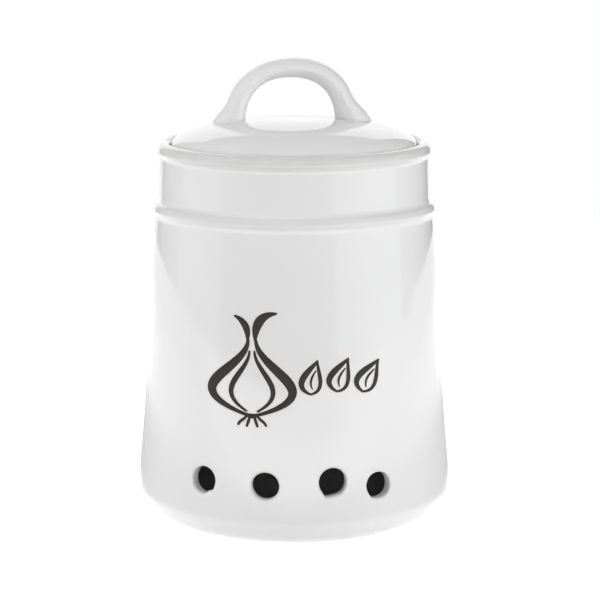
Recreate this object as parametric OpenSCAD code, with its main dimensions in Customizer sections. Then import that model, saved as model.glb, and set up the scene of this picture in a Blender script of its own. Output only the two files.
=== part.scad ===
// Ceramic garlic keeper: a vented jar with a domed lid that drops into its mouth.
// Millimetres, +Z up. The origin is the centre of the foot, on the surface the jar stands on,
// and the front, with the vents and the motif, faces -Y.

/* [Jar body] */
// Widest diameter of the jar, just above its base corner
body_d = 120; // [114:1:126]
// Diameter of the body at its top, under the ring bead
shoulder_d = 105.4; // [104.8:0.1:106]
// Height of the body up to the ring bead
body_h = 113.7; // [90:0.1:130]
// How much the side bows outwards, as a share of its taper
bow = 0.32; // [0.2:0.01:0.5]
// Width of the rounded base corner
corner_w = 12.7; // [11:0.1:14]
// Height of the rounded base corner
corner_h = 10.75; // [10:0.05:12]
// Thickness of the walls
wall = 3.7; // [3.4:0.1:4]
// Thickness of the bottom at the foot ring
bottom_t = 5; // [4.5:0.1:5.5]
// Depth of the hollow inside the foot ring
foot_hollow = 1.6; // [0.8:0.1:2]
// Width of the foot ring that the jar stands on
foot_ring_w = 4.8; // [4:0.1:6]

/* [Neck and rim] */
// Outside diameter of the neck
neck_d = 101.4; // [101:0.1:102]
// Height of the neck, from the top of the body to the middle of the rim bead
neck_h = 26; // [24:0.1:34]
// Outside diameter over the ring bead
ring_d = 106.5; // [106.3:0.1:107.6]
// Height of the ring bead's section
ring_h = 6.2; // [5.6:0.1:7]
// Outside diameter over the rim bead
rim_d = 103.2; // [103:0.1:103.8]
// Thickness of the rim bead
rim_t = 4.75; // [4.5:0.05:4.9]
// Height of the rim bead's section
rim_h = 6.2; // [5.6:0.1:6.6]
// Width of the inside ledge that carries the lid
ledge_w = 3.7; // [3:0.1:4]

/* [Lid] */
// Clearance between the lid's edge and the mouth
lid_gap = 0.75; // [0.4:0.05:1]
// Height of the lid's edge where it sits on the ledge
lid_edge_h = 3.4; // [3:0.1:4]
// Rise of the dome above its edge
dome_rise = 9.7; // [8:0.1:12]
// Thickness of the dome and of the locating skirt
lid_wall = 3.6; // [3:0.1:4]
// Depth of the skirt that keeps the lid centred
skirt_h = 8; // [6:0.5:12]
// Clearance between the skirt and the ledge
skirt_gap = 0.8; // [0.5:0.05:1.2]

/* [Handle] */
// Height of the arch above the dome's edge, at its outer side
arch_h = 32.4; // [30:0.1:36]
// Half width of the arch at its outer side
arch_half = 26.5; // [25.5:0.1:28]
// Half width of the finger gap
gap_half = 17.2; // [15:0.1:18]
// Thickness of the arch at its top
arch_t = 7.8; // [6.5:0.1:8.5]
// Width of the strap, front to back
strap_w = 16; // [13:0.5:18]
// How far each foot flares past the arch
foot_flare = 4; // [3:0.1:5]
// Turn of the handle away from square to the front
handle_turn = 4.5; // [0:0.5:10]
// Sideways offset of the handle from the lid's centre
handle_shift = -1.3; // [-2:0.1:2]

/* [Vents] */
// Diameter of the vent holes
vent_d = 9.6; // [8:0.1:11]
// Height of the row of vent holes
vent_z = 24.3; // [21:0.1:30]

/* [Motif] */
// Thickness of the coloured motif on the wall
motif_t = 0.25; // [0.15:0.05:0.5]
// Height of the motif's lowest point above the foot
motif_z = 46; // [42:0.5:50]
// Scale of the motif's drawing
motif_scale = 1; // [0.8:0.05:1.1]

/* [Hidden] */
$fn = 96;

glaze_white = [0.93, 0.93, 0.925];
ink_charcoal = [0.2, 0.2, 0.2];

// Number of straight steps that stand for each kind of curve in a profile
side_steps = 10;
corner_steps = 8;
bead_steps = 12;
dome_steps = 14;
stroke_steps = 8;

body_r = body_d / 2;
shoulder_r = shoulder_d / 2;
foot_r = body_r - corner_w;
neck_r = neck_d / 2;
ring_z = body_h + 4;
rim_z = body_h + neck_h;
rim_mid_r = rim_d / 2 - rim_t / 2;
mouth_r = rim_d / 2 - rim_t;
ledge_z = rim_z - 1.3;
ledge_r = mouth_r - ledge_w;

// The side leaves the base corner where both have the same slope
corner_end = 4.7;
side_low = [foot_r + corner_w * cos(corner_end), corner_h + corner_h * sin(corner_end)];
side_high = [shoulder_r, body_h];
side_pull = [shoulder_r + bow * (body_r - shoulder_r), (side_low.y + side_high.y) / 2];

lid_r = mouth_r - lid_gap;
dome_z = ledge_z + lid_edge_h;
// Powers that make the dome broad on top and steep at its edge
dome_power = 3.1;
dome_root = 0.63;
skirt_r = ledge_r - skirt_gap;
skirt_in_r = skirt_r - lid_wall;

// The arch is an ellipse round this height, outside and inside
arch_z = dome_z + 7;
arch_rise = arch_h - 7;
gap_rise = arch_rise - arch_t;
// Height at which the leg starts to flare into its foot
flare_z = arch_z + 8;
// Radius of the strap's rounded edges
strap_round = 3.5;

// Each vent is punched by hand: azimuth from the front, height offset and diameter offset
vents = [[-34, 0.4, -0.2], [-10, 0.1, 0], [13.5, 1.3, 0.3], [30.7, -1.8, -0.1]];

function bezier2(a, b, c, t) = (1 - t) * (1 - t) * a + 2 * t * (1 - t) * b + t * t * c;

function bezier3(a, b, c, d, t) =
    pow(1 - t, 3) * a + 3 * t * pow(1 - t, 2) * b + 3 * t * t * (1 - t) * c + pow(t, 3) * d;

// Points along an ellipse with half sizes w and h, from one angle to another
function oval(mid, w, h, from, to, steps) =
    [for (i = [0:steps]) let (a = from + (to - from) * i / steps) mid + [w * cos(a), h * sin(a)]];

function side(i) = bezier2(side_low, side_pull, side_high, i / side_steps);

// Outside of the jar from its foot to the top of the body
function body_outside() = concat(
    oval([foot_r, corner_h], corner_w, corner_h, -90, 0, corner_steps),
    [for (i = [0:side_steps]) side(i)]);

// The ring bead, an arc that stands out from the body below and from the neck above
function ring_bead() =
    let (half = ring_h / 2, mid_r = ring_d / 2 - half)
    oval([mid_r, ring_z], half, half,
         -acos((shoulder_r - mid_r) / half), acos((neck_r - mid_r) / half), bead_steps);

// The rim bead, from the neck over its crest to the mouth
function rim_bead() =
    oval([rim_mid_r, rim_z], rim_t / 2, rim_h / 2,
         -acos((neck_r - rim_mid_r) / (rim_t / 2)), 180, bead_steps);

// The ledge for the lid, with its sloping underside, then the inside down to the bottom
function jar_inside() =
    let (corner = side_low.y - bottom_t, lip = 1.2, slope = ledge_w + 2)
    concat(
        [[mouth_r, ledge_z], [ledge_r, ledge_z], [ledge_r, ledge_z - lip]],
        [[neck_r - wall, ledge_z - lip - slope], [neck_r - wall, ring_z + 3]],
        [for (i = [side_steps:-1:0]) side(i) - [wall, 0]],
        oval([side_low.x - wall - corner, side_low.y], corner, corner, -10, -90, corner_steps),
        [[0, bottom_t]]);

function foot_underside() =
    let (hollow_r = foot_r - foot_ring_w)
    [[0, foot_hollow], [hollow_r - foot_hollow, foot_hollow], [hollow_r, 0]];

// Height of the dome's outside at a distance r from its centre
function dome_at(r) = dome_z + dome_rise * pow(1 - pow(r / lid_r, dome_power), dome_root);

// The dome's outside from the centre to its edge, in steps that are short near the edge
function dome_outside() =
    [for (i = [0:dome_steps]) let (r = lid_r * sin(90 * i / dome_steps)) [r, dome_at(min(r, lid_r))]];

function dome_inside() =
    [for (i = [0:dome_steps]) let (r = skirt_in_r * cos(90 * i / dome_steps)) [r, dome_at(r) - lid_wall]];

module lathe(points) {
    rotate_extrude() polygon(points);
}

// A hole straight through the wall at an azimuth from the front
module vent_hole(azimuth, height, diameter) {
    rotate([0, 0, azimuth])
        translate([0, 6 - body_r, height])
            rotate([90, 0, 0])
                cylinder(h = 24, d = diameter, center = true);
}

// The jar in one piece: foot ring, tapered body, ring bead, neck, rim bead and lid ledge
module jar() {
    color(glaze_white)
        difference() {
            lathe(concat(foot_underside(), body_outside(), ring_bead(), rim_bead(), jar_inside()));
            for (v = vents)
                vent_hole(v[0], vent_z + v[1], vent_d + v[2]);
        }
}

// The lid: a hollow dome on a flat edge that rests on the ledge, and a skirt below it
module lid() {
    edge_round = 0.9;
    color(glaze_white)
        lathe(concat(
            dome_outside(),
            [[lid_r, ledge_z + edge_round], [lid_r - edge_round, ledge_z]],
            [[skirt_r, ledge_z], [skirt_r, ledge_z - skirt_h]],
            [[skirt_in_r, ledge_z - skirt_h]],
            dome_inside()));
}

// Side view of the handle: an elliptical arch whose legs flare into two feet
module arch_outline() {
    start = asin((flare_z - arch_z) / arch_rise);
    leg = [arch_half * cos(start), flare_z];
    tip_x = arch_half + foot_flare;
    tip = [tip_x, dome_at(tip_x)];
    pull = [arch_half + 0.7, flare_z - 3.4];
    // Both feet run on below the dome's surface, where the dome cuts them off
    sunk_z = arch_z - 5;
    right_flare = [for (i = [0:corner_steps]) bezier2(tip, pull, leg, i / corner_steps)];
    left_flare = [for (i = [corner_steps:-1:0]) let (p = right_flare[i]) [-p.x, p.y]];
    polygon(concat(
        [[tip_x, sunk_z]],
        right_flare,
        oval([0, arch_z], arch_half, arch_rise, start, 180 - start, 4 * bead_steps),
        left_flare,
        [[-tip_x, sunk_z], [-gap_half, sunk_z]],
        oval([0, arch_z], gap_half, gap_rise, 180, 0, 3 * bead_steps),
        [[gap_half, sunk_z]]));
}

// A rectangle whose corners are true arcs
module rounded_rectangle(w, h, r) {
    square([w - 2 * r, h], center = true);
    square([w, h - 2 * r], center = true);
    for (x = [-1, 1], y = [-1, 1])
        translate([x * (w / 2 - r), y * (h / 2 - r)])
            circle(r);
}

// The arched strap, rounded in front view and in plan, and cut to sit on the dome
module lid_handle() {
    span = 2 * (arch_half + foot_flare);
    top_z = arch_z + arch_rise;
    tall = 2 * (arch_h + 4);
    plan_round = 6;
    color(glaze_white)
        difference() {
            translate([handle_shift, 0, 0])
                rotate([0, 0, handle_turn])
                    intersection() {
                        rotate([90, 0, 0])
                            linear_extrude(strap_w, center = true)
                                arch_outline();
                        translate([0, 0, top_z - tall / 2])
                            rotate([90, 0, 90])
                                linear_extrude(span + 2, center = true)
                                    rounded_rectangle(strap_w, tall, strap_round);
                        translate([0, 0, top_z - tall])
                            linear_extrude(2 * tall)
                                rounded_rectangle(span, strap_w, plan_round);
                    }
            lathe(concat(dome_outside(), [[lid_r, ledge_z], [0, ledge_z]]));
        }
}

// A brush stroke along a cubic curve, thin at its ends and thick in the middle
module stroke(a, b, c, d, thin, thick) {
    centres = [for (i = [0:stroke_steps]) bezier3(a, b, c, d, i / stroke_steps)];
    function ahead(i) = centres[min(i + 1, stroke_steps)] - centres[max(i - 1, 0)];
    function half_width(i) = (thin + (thick - thin) * sin(180 * i / stroke_steps)) / 2;
    function across(i) = let (d = ahead(i)) [-d.y, d.x] / norm(d) * half_width(i);
    polygon(concat(
        [for (i = [0:stroke_steps]) centres[i] + across(i)],
        [for (i = [stroke_steps:-1:0]) centres[i] - across(i)]));
}

// One side of the bulb, drawn on the left and mirrored for the right
module bulb_side() {
    stroke([-1.4, 31], [-2, 20], [-30, 13], [-2.6, 4.2], 1.2, 3.6);
    stroke([-0.9, 27], [-1.2, 19], [-15, 13], [-2.1, 5.4], 0.8, 2);
    stroke([-2.2, 3.4], [-2.8, 2.2], [-4.2, 2], [-5, 0.4], 0.9, 1.1);
    stroke([-0.9, 3.2], [-1.1, 2.2], [-1.5, 1.2], [-1.9, 0], 0.9, 1.1);
}

// A whole garlic bulb with its roots and two leaves
module bulb_drawing() {
    bulb_side();
    mirror([1, 0]) bulb_side();
    stroke([-3.4, 4.8], [-1.5, 3.2], [1.5, 3.2], [3.4, 4.8], 0.8, 1.8);
    stroke([-1.6, 31], [-1.2, 35], [-2.6, 38], [-6, 39.5], 1, 2.6);
    stroke([1.2, 31], [1, 36], [2.5, 40.5], [8.6, 41], 1, 3.4);
}

// A single clove, with a thin line down its inner face
module clove_drawing() {
    stroke([1.6, 12.6], [-0.6, 9], [-7.4, 3], [0.4, 0.4], 0.8, 2.4);
    stroke([1.6, 12.6], [2, 8.6], [6.4, 2.2], [0.4, 0.4], 0.8, 1.5);
    stroke([1.4, 9], [0.2, 6.6], [-0.6, 4.6], [0.9, 2.4], 0.5, 0.9);
}

// The motif as seen from the front: a large bulb and three cloves beside it
module motif_drawing() {
    bulb_x = -15.2;
    clove_z = 11.5;
    clove_step = 9.4;
    translate([bulb_x, 0]) bulb_drawing();
    for (i = [0:2])
        translate([bulb_x + 20.6 + clove_step * i, clove_z + 0.8 * (i % 2)])
            rotate(-6 - 8 * i)
                clove_drawing();
}

// The motif follows the wall: its drawing cut out of a thin skin over the body
module motif() {
    skin = [for (i = [2:side_steps - 1]) side(i)];
    color(ink_charcoal)
        intersection() {
            translate([0, 0, motif_z])
                rotate([90, 0, 0])
                    linear_extrude(body_r + 1)
                        scale(motif_scale)
                            motif_drawing();
            lathe(concat(skin, [for (i = [len(skin) - 1:-1:0]) skin[i] + [motif_t, 0]]));
        }
}

jar();
motif();
lid();
lid_handle();
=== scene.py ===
"""Looks of a white glazed garlic keeper, built around its packed construction.

The keeper is a slip-cast jar with hand-punched vents, a hollow lid that drops into its mouth, an
arched strap handle luted to the lid, and a charcoal motif fired onto the front. Sizes in the classes
are millimetres, in the frame of the construction: +Z up, the foot at 0 and the front facing -Y.
"""

from __future__ import annotations

import logging
import math
from collections.abc import Callable, Collection, Iterable, Sequence
from dataclasses import dataclass, field
from enum import Enum

import bmesh
import bpy
from mathutils import Matrix, Vector, noise


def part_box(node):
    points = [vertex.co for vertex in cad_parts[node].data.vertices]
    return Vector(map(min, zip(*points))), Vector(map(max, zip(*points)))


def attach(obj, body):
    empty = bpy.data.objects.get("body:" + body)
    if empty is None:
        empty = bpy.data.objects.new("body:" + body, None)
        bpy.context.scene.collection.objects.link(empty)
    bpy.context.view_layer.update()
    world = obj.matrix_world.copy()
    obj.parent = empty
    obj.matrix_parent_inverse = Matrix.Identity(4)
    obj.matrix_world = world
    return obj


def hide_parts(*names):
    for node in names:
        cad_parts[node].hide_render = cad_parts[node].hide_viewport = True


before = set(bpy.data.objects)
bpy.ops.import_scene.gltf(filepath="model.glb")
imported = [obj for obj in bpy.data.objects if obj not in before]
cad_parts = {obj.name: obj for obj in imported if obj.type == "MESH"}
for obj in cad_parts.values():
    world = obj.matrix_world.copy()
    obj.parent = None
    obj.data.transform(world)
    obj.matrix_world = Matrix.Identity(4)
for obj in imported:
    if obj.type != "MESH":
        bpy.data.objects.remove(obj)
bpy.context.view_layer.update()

LOG = logging.getLogger("garlic_keeper")
MM = 0.001
ON_THE_LINE = 0.01

Point2 = tuple[float, float]
Point3 = tuple[float, float, float]
Colour = tuple[float, float, float]
Material = bpy.types.Material
Piece = bpy.types.Object
Socket = bpy.types.NodeSocket


class Body(Enum):
    """The rigid bodies that pieces ride on."""

    JAR = "jar"
    LID = "lid"


class Slot(Enum):
    """The record's material slots."""

    JAR = "jar_glaze"
    LID = "lid_glaze"
    HANDLE = "handle_glaze"
    MOTIF = "motif_colour"


class Finish(Enum):
    """The place of a finish in a piece's list of materials."""

    MAIN = 0
    EDGE = 1


class RayKind(Enum):
    """Outputs of the Light Path node that the studio reads."""

    CAMERA = "Is Camera Ray"
    GLOSSY = "Is Glossy Ray"
    TRANSMISSION = "Is Transmission Ray"


# --- Shapes ---


def mix(low: float, high: float, share: float) -> float:
    """Returns the value a share of the way from low to high."""
    return low + (high - low) * share


def smooth_step(share: float) -> float:
    """Returns a share eased at both ends, held between 0 and 1."""
    held = min(1.0, max(0.0, share))
    return held * held * (3.0 - 2.0 * held)


def signed_power(value: float, power: float) -> float:
    """Returns a power of a value's size with the value's own sign."""
    return math.copysign(abs(value) ** power, value)


def around(r: float, azimuth: float, z: float) -> Point3:
    """Returns a point by its distance from the axis, its azimuth from the front in radians and its height."""
    return r * math.sin(azimuth), -r * math.cos(azimuth), z


def fillet_touch(mid_r: float, size: float, line_r: float, fillet: float) -> Point2:
    """Finds where a fillet runs from an upright line into a rounding.

    Args:
        mid_r: Distance of the rounding's middle from the axis.
        size: Radius of the rounding.
        line_r: Distance of the line from the axis.
        fillet: Radius of the fillet.

    Returns:
        How far the fillet lies above or below the middle, and the angle in degrees at which both touch.
    """
    reach, aside = size + fillet, line_r + fillet - mid_r
    rise = math.sqrt(reach * reach - aside**2)
    return rise, math.degrees(math.atan2(rise, aside))


def put_in_scene(name: str, data: bpy.types.ID) -> Piece:
    """Makes an object of a mesh, a lamp or a camera, links it to the scene and returns it."""
    piece = bpy.data.objects.new(name, data)
    bpy.context.scene.collection.objects.link(piece)
    return piece


@dataclass(frozen=True)
class Unevenness:
    """The slow waviness of a surface that was cast and sponged by hand.

    Attributes:
        amount: Largest offset in millimetres.
        spread: Size of one wave in millimetres.
        seed: Place in the noise field, so that pieces differ.
    """

    amount: float
    spread: float
    seed: float

    def at(self, x: float, y: float, z: float) -> float:
        """Returns the offset at a point of the surface."""
        place = Vector((x, y, z)) / self.spread + Vector((self.seed, 0.0, self.seed))
        return self.amount * noise.noise(place)


@dataclass(frozen=True)
class ProfilePoint:
    """A point of a turned profile.

    Attributes:
        r: Distance from the axis.
        z: Height.
        thin: How far the glaze has thinned there, from 0 to 1; on the rim, the ring bead and the handle's
            feet this grey is also painted shade.
        finish: The finish of the band that ends at this point.
    """

    r: float
    z: float
    thin: float = 0.0
    finish: Finish = Finish.MAIN


@dataclass
class ProfilePath:
    """A turned profile, drawn as a chain of lines and arcs.

    Attributes:
        points: The points so far, in order.
    """

    points: list[ProfilePoint]

    @classmethod
    def start(cls, r: float, z: float) -> ProfilePath:
        """Returns a new path with its first point."""
        return cls([ProfilePoint(r, z)])

    def line(self, r: float, z: float, steps: int = 1, finish: Finish = Finish.MAIN) -> None:
        """Draws a straight line to a point.

        Args:
            r: Distance of its end from the axis.
            z: Height of its end.
            steps: Number of equal steps.
            finish: The finish along it.
        """
        last = self.points[-1]
        for i in range(1, steps + 1):
            share = i / steps
            self.points.append(ProfilePoint(mix(last.r, r, share), mix(last.z, z, share), 0.0, finish))

    def arc(
        self, centre: Point2, size: Point2, start: float, end: float, steps: int, thin: float = 0.0
    ) -> None:
        """Draws an arc of an ellipse.

        Args:
            centre: Its centre, as distance from the axis and height.
            size: Its half sizes along both.
            start: First angle in degrees, from the outward direction upwards.
            end: Last angle in degrees.
            steps: Number of steps, whose first point isn't repeated if the path is there already.
            thin: How far the glaze has thinned at the middle of the arc; on the rim and the ring bead its
                grey is also painted shade.
        """
        there = 0.05
        for i in range(steps + 1):
            angle = math.radians(mix(start, end, i / steps))
            r = centre[0] + size[0] * math.cos(angle)
            z = centre[1] + size[1] * math.sin(angle)
            last = self.points[-1]
            if i == 0 and math.hypot(last.r - r, last.z - z) < there:
                continue
            share = smooth_step(2.0 * math.sin(math.pi * i / steps))
            self.points.append(ProfilePoint(r, z, thin * share))

    def curve(self, radius_at: Callable[[float], float], heights: Iterable[float]) -> None:
        """Draws a curve whose radius is a function of the height."""
        self.points.extend(ProfilePoint(radius_at(z), z) for z in heights)


@dataclass
class MeshDraft:
    """Points and faces in millimetres, gathered before they become an object.

    Attributes:
        points: Places of the vertices.
        thin: How far the glaze has thinned at each vertex, which also carries painted shade on the rim, the
            ring bead and the handle's feet.
        faces: Vertex numbers of each face.
        finishes: The finish of each face.
    """

    points: list[Point3] = field(default_factory=list)
    thin: list[float] = field(default_factory=list)
    faces: list[tuple[int, ...]] = field(default_factory=list)
    finishes: list[Finish] = field(default_factory=list)

    def point(self, place: Sequence[float], thin: float = 0.0) -> int:
        """Adds a vertex and returns its number."""
        self.points.append((place[0], place[1], place[2]))
        self.thin.append(thin)
        return len(self.points) - 1

    def ring(self, places: Iterable[Sequence[float]], thin: float = 0.0) -> list[int]:
        """Adds a row of vertices and returns their numbers."""
        return [self.point(place, thin) for place in places]

    def face(self, corners: Sequence[int], finish: Finish = Finish.MAIN) -> None:
        """Adds a face."""
        self.faces.append(tuple(corners))
        self.finishes.append(finish)

    def bridge(self, first: Sequence[int], second: Sequence[int], finish: Finish = Finish.MAIN) -> None:
        """Joins two closed rings of equal length with quads."""
        count = len(first)
        for i in range(count):
            j = (i + 1) % count
            self.face((first[i], first[j], second[j], second[i]), finish)

    def fan(self, ring: Sequence[int], centre: int, finish: Finish = Finish.MAIN) -> None:
        """Closes a ring with triangles to a centre vertex."""
        for i, corner in enumerate(ring):
            self.face((corner, ring[(i + 1) % len(ring)], centre), finish)

    def turned(
        self,
        path: Sequence[ProfilePoint],
        columns: int,
        place: Callable[[ProfilePoint, float], Point3],
        left_out: Collection[tuple[int, int]] = (),
    ) -> list[list[int]]:
        """Turns a profile round the axis.

        Args:
            path: The profile, whose first and last point lie on the axis and get no ring.
            columns: Number of columns round the axis.
            place: Gives the place of a profile point at an azimuth in radians.
            left_out: Rows and columns of the faces left out.

        Returns:
            The rings of vertices.
        """
        step = 2.0 * math.pi / columns
        rows = [
            self.ring((place(point, column * step) for column in range(columns)), point.thin)
            for point in path[1:-1]
        ]
        for row, (low, high) in enumerate(zip(rows, rows[1:])):
            for column in range(columns):
                beside = (column + 1) % columns
                if (row, column) not in left_out:
                    corners = (low[column], low[beside], high[beside], high[column])
                    self.face(corners, path[row + 2].finish)
        return rows

    def build(self, name: str, materials: Sequence[Material]) -> Piece:
        """Makes a smooth closed object in metres.

        Args:
            name: Name of the piece.
            materials: Its materials, in the order of Finish.

        Returns:
            The new object, linked to the scene.
        """
        mesh = bpy.data.meshes.new(name)
        places = [tuple(value * MM for value in point) for point in self.points]
        mesh.from_pydata(places, [], self.faces)
        mesh.polygons.foreach_set("material_index", [finish.value for finish in self.finishes])
        thinning = mesh.attributes.new("glaze_thin_and_shade", "FLOAT", "POINT")
        thinning.data.foreach_set("value", self.thin)
        draft = bmesh.new()
        draft.from_mesh(mesh)
        loose = [vertex for vertex in draft.verts if not vertex.link_faces]
        bmesh.ops.delete(draft, geom=loose, context="VERTS")
        bmesh.ops.recalc_face_normals(draft, faces=draft.faces)
        draft.to_mesh(mesh)
        draft.free()
        mesh.shade_smooth()
        for material in materials:
            mesh.materials.append(material)
        return put_in_scene(name, mesh)


def settle(piece: Piece, body: Body, node: str) -> None:
    """Makes a piece ride on a body and stand for a construction node."""
    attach(piece, body.value)
    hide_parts(node)
    LOG.info("%s: %d faces, rides on %s", piece.name, len(piece.data.polygons), body.value)


# --- Finishes ---


class NodeBench:
    """A node tree and short ways to place and join its nodes."""

    def __init__(self, tree: bpy.types.NodeTree) -> None:
        """Takes the tree to work on."""
        self.tree = tree

    def add(self, kind: str, **settings: object) -> bpy.types.Node:
        """Adds a node.

        Args:
            kind: Blender's name of the node type.
            **settings: Properties to set on it.

        Returns:
            The new node.
        """
        node = self.tree.nodes.new(kind)
        for name, value in settings.items():
            setattr(node, name, value)
        return node

    def join(self, source: Socket, target: Socket) -> None:
        """Links an output to an input."""
        self.tree.links.new(source, target)

    def feed(self, node: bpy.types.Node, inputs: dict[str, Socket | float | Sequence[float]]) -> None:
        """Links a socket to, or sets a value on, each named input of a node."""
        for name, value in inputs.items():
            if isinstance(value, Socket):
                self.join(value, node.inputs[name])
            else:
                node.inputs[name].default_value = value

    def noise(self, place: Socket, scale: float, detail: float = 2.0) -> Socket:
        """Adds a noise texture and returns its value output."""
        node = self.add("ShaderNodeTexNoise")
        self.feed(node, {"Vector": place, "Scale": scale, "Detail": detail})
        return node.outputs["Fac"]

    def math(self, operation: str, *values: Socket | float) -> Socket:
        """Adds a Math node and returns its output.

        Args:
            operation: Blender's name of the operation.
            *values: Sockets or numbers, in the order of its inputs.

        Returns:
            The output socket.
        """
        node = self.add("ShaderNodeMath", operation=operation)
        for socket, value in zip(node.inputs, values):
            if isinstance(value, Socket):
                self.join(value, socket)
            else:
                socket.default_value = value
        return node.outputs[0]

    def ramp(self, value: Socket, low: float, high: float, to: Point2 = (0.0, 1.0)) -> Socket:
        """Maps a value from low..high to a range, smoothly and held inside it, and returns the output."""
        node = self.add("ShaderNodeMapRange", interpolation_type="SMOOTHSTEP")
        self.feed(node, {"Value": value, "From Min": low, "From Max": high, "To Min": to[0], "To Max": to[1]})
        return node.outputs["Result"]

    def blend(self, share: Socket, first: Socket | Colour, second: Socket | Colour) -> Socket:
        """Mixes two colours, which are sockets or values, by a share and returns the output."""
        node = self.add("ShaderNodeMix", data_type="RGBA")
        self.feed(node, {"Factor": share, "A": opaque(first), "B": opaque(second)})
        return node.outputs["Result"]


def opaque(colour: Socket | Colour) -> Socket | tuple[float, ...]:
    """Returns a colour with its opacity, or a socket as it is."""
    return colour if isinstance(colour, Socket) else (*colour, 1.0)


def cleared(owner: Material | bpy.types.World) -> NodeBench:
    """Clears the nodes of a material or a world and returns a bench on its tree."""
    owner.use_nodes = True
    owner.node_tree.nodes.clear()
    return NodeBench(owner.node_tree)


def glaze_surface_group() -> bpy.types.NodeTree:
    """Makes the node group of a fired glaze's surface, or returns it if it's there.

    It mottles the colour slowly, lets the body's colour through where the glaze is thin, lays that same grey
    on as painted shade on the rim, the ring bead and the handle's feet, sprinkles a few specks, and gives a
    height of slow ripples with pinholes.

    Returns:
        The node group.
    """
    name = "glaze_surface"
    if name in bpy.data.node_groups:
        return bpy.data.node_groups[name]
    tree = bpy.data.node_groups.new(name, "ShaderNodeTree")
    for label, side, kind in (
        ("Colour", "INPUT", "NodeSocketColor"),
        ("Thin And Shade Colour", "INPUT", "NodeSocketColor"),
        ("Speck Colour", "INPUT", "NodeSocketColor"),
        ("Mottle", "INPUT", "NodeSocketFloat"),
        ("Gloss Roughness", "INPUT", "NodeSocketFloat"),
        ("Colour", "OUTPUT", "NodeSocketColor"),
        ("Roughness", "OUTPUT", "NodeSocketFloat"),
        ("Height", "OUTPUT", "NodeSocketFloat"),
    ):
        tree.interface.new_socket(label, in_out=side, socket_type=kind)
    bench = NodeBench(tree)
    given = bench.add("NodeGroupInput").outputs
    result = bench.add("NodeGroupOutput").inputs
    place = bench.add("ShaderNodeTexCoord").outputs["Object"]
    thin = bench.add("ShaderNodeAttribute", attribute_name="glaze_thin_and_shade").outputs["Fac"]

    mottle_scale, edge_scale, speck_scale, ripple_scale, peel_scale = 22.0, 90.0, 130.0, 75.0, 420.0
    speck_size, speck_strength, speck_rarity = (0.025, 0.065), 0.45, 0.987
    slow = bench.ramp(bench.noise(place, mottle_scale, 3.0), 0.35, 0.75)
    mottled = bench.math("MULTIPLY", slow, given["Mottle"])
    # The thin-glaze grey blended in here is glaze thinning on edges, and painted shade on the rim, the ring
    # bead and the handle's feet.
    uneven = bench.ramp(bench.noise(place, edge_scale), 0.3, 0.7, (0.8, 1.0))
    broken_edge_and_shade = bench.math("MULTIPLY", thin, uneven)
    fired = bench.blend(mottled, given["Colour"], given["Thin And Shade Colour"])
    fired = bench.blend(broken_edge_and_shade, fired, given["Thin And Shade Colour"])

    cells = bench.add("ShaderNodeTexVoronoi", feature="F1")
    bench.feed(cells, {"Vector": place, "Scale": speck_scale})
    dots = bench.ramp(cells.outputs["Distance"], *speck_size, (1.0, 0.0))
    tone = bench.add("ShaderNodeSeparateColor")
    bench.join(cells.outputs["Color"], tone.inputs["Color"])
    rare = bench.math("GREATER_THAN", tone.outputs["Red"], speck_rarity)
    speck = bench.math("MULTIPLY", dots, rare)
    speckled = bench.blend(bench.math("MULTIPLY", speck, speck_strength), fired, given["Speck Colour"])
    bench.join(speckled, result["Colour"])

    rough = bench.math("ADD", given["Gloss Roughness"], bench.math("MULTIPLY", mottled, 0.05))
    bench.join(bench.math("ADD", rough, bench.math("MULTIPLY", broken_edge_and_shade, 0.04)), result["Roughness"])

    ripple = bench.math("MULTIPLY", bench.noise(place, ripple_scale, 1.0), 0.6)
    peel = bench.math("MULTIPLY", bench.noise(place, peel_scale, 1.0), 0.05)
    pit = bench.math("MULTIPLY", speck, -0.35)
    bench.join(bench.math("ADD", bench.math("ADD", ripple, peel), pit), result["Height"])
    return tree


def principled(material: Material) -> tuple[NodeBench, bpy.types.Node]:
    """Clears a material and returns a bench on its tree and its Principled shader."""
    bench = cleared(material)
    shader = bench.add("ShaderNodeBsdfPrincipled")
    output = bench.add("ShaderNodeOutputMaterial")
    bench.join(shader.outputs["BSDF"], output.inputs["Surface"])
    return bench, shader


def bump(bench: NodeBench, shader: bpy.types.Node, height: Socket, depth: float) -> None:
    """Feeds a height to a shader's normal, with the depth in metres of a height of 1."""
    node = bench.add("ShaderNodeBump")
    bench.feed(node, {"Strength": 1.0, "Distance": depth, "Height": height})
    bench.join(node.outputs["Normal"], shader.inputs["Normal"])


@dataclass(frozen=True)
class Glaze:
    """A glossy fired glaze.

    Attributes:
        name: Name of the material.
        colour: Its colour where it lies thick.
        thin_and_shade_colour: Its colour where it has run off an edge, also the grey of the painted shade on
            the rim, the ring bead and the handle's feet.
        speck_colour: Colour of the rare specks in it.
        mottle: Strength of the slow change of colour.
        roughness: Roughness of its polish.
        ripple: Depth in metres of its surface ripples.
        specular: Strength of its mirroring, where 0.5 is plain glass.
    """

    name: str
    colour: Colour
    thin_and_shade_colour: Colour
    speck_colour: Colour
    mottle: float
    roughness: float
    ripple: float
    specular: float = 0.5

    def make(self) -> Material:
        """Makes the material and returns it."""
        material = bpy.data.materials.new(self.name)
        bench, shader = principled(material)
        surface = bench.add("ShaderNodeGroup", node_tree=glaze_surface_group())
        bench.feed(surface, {
            "Colour": opaque(self.colour),
            "Thin And Shade Colour": opaque(self.thin_and_shade_colour),
            "Speck Colour": opaque(self.speck_colour),
            "Mottle": self.mottle,
            "Gloss Roughness": self.roughness,
        })
        bench.feed(shader, {
            "Base Color": surface.outputs["Colour"],
            "Roughness": surface.outputs["Roughness"],
            "IOR": 1.5,
            "Specular IOR Level": self.specular,
        })
        bump(bench, shader, surface.outputs["Height"], self.ripple)
        return material


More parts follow.
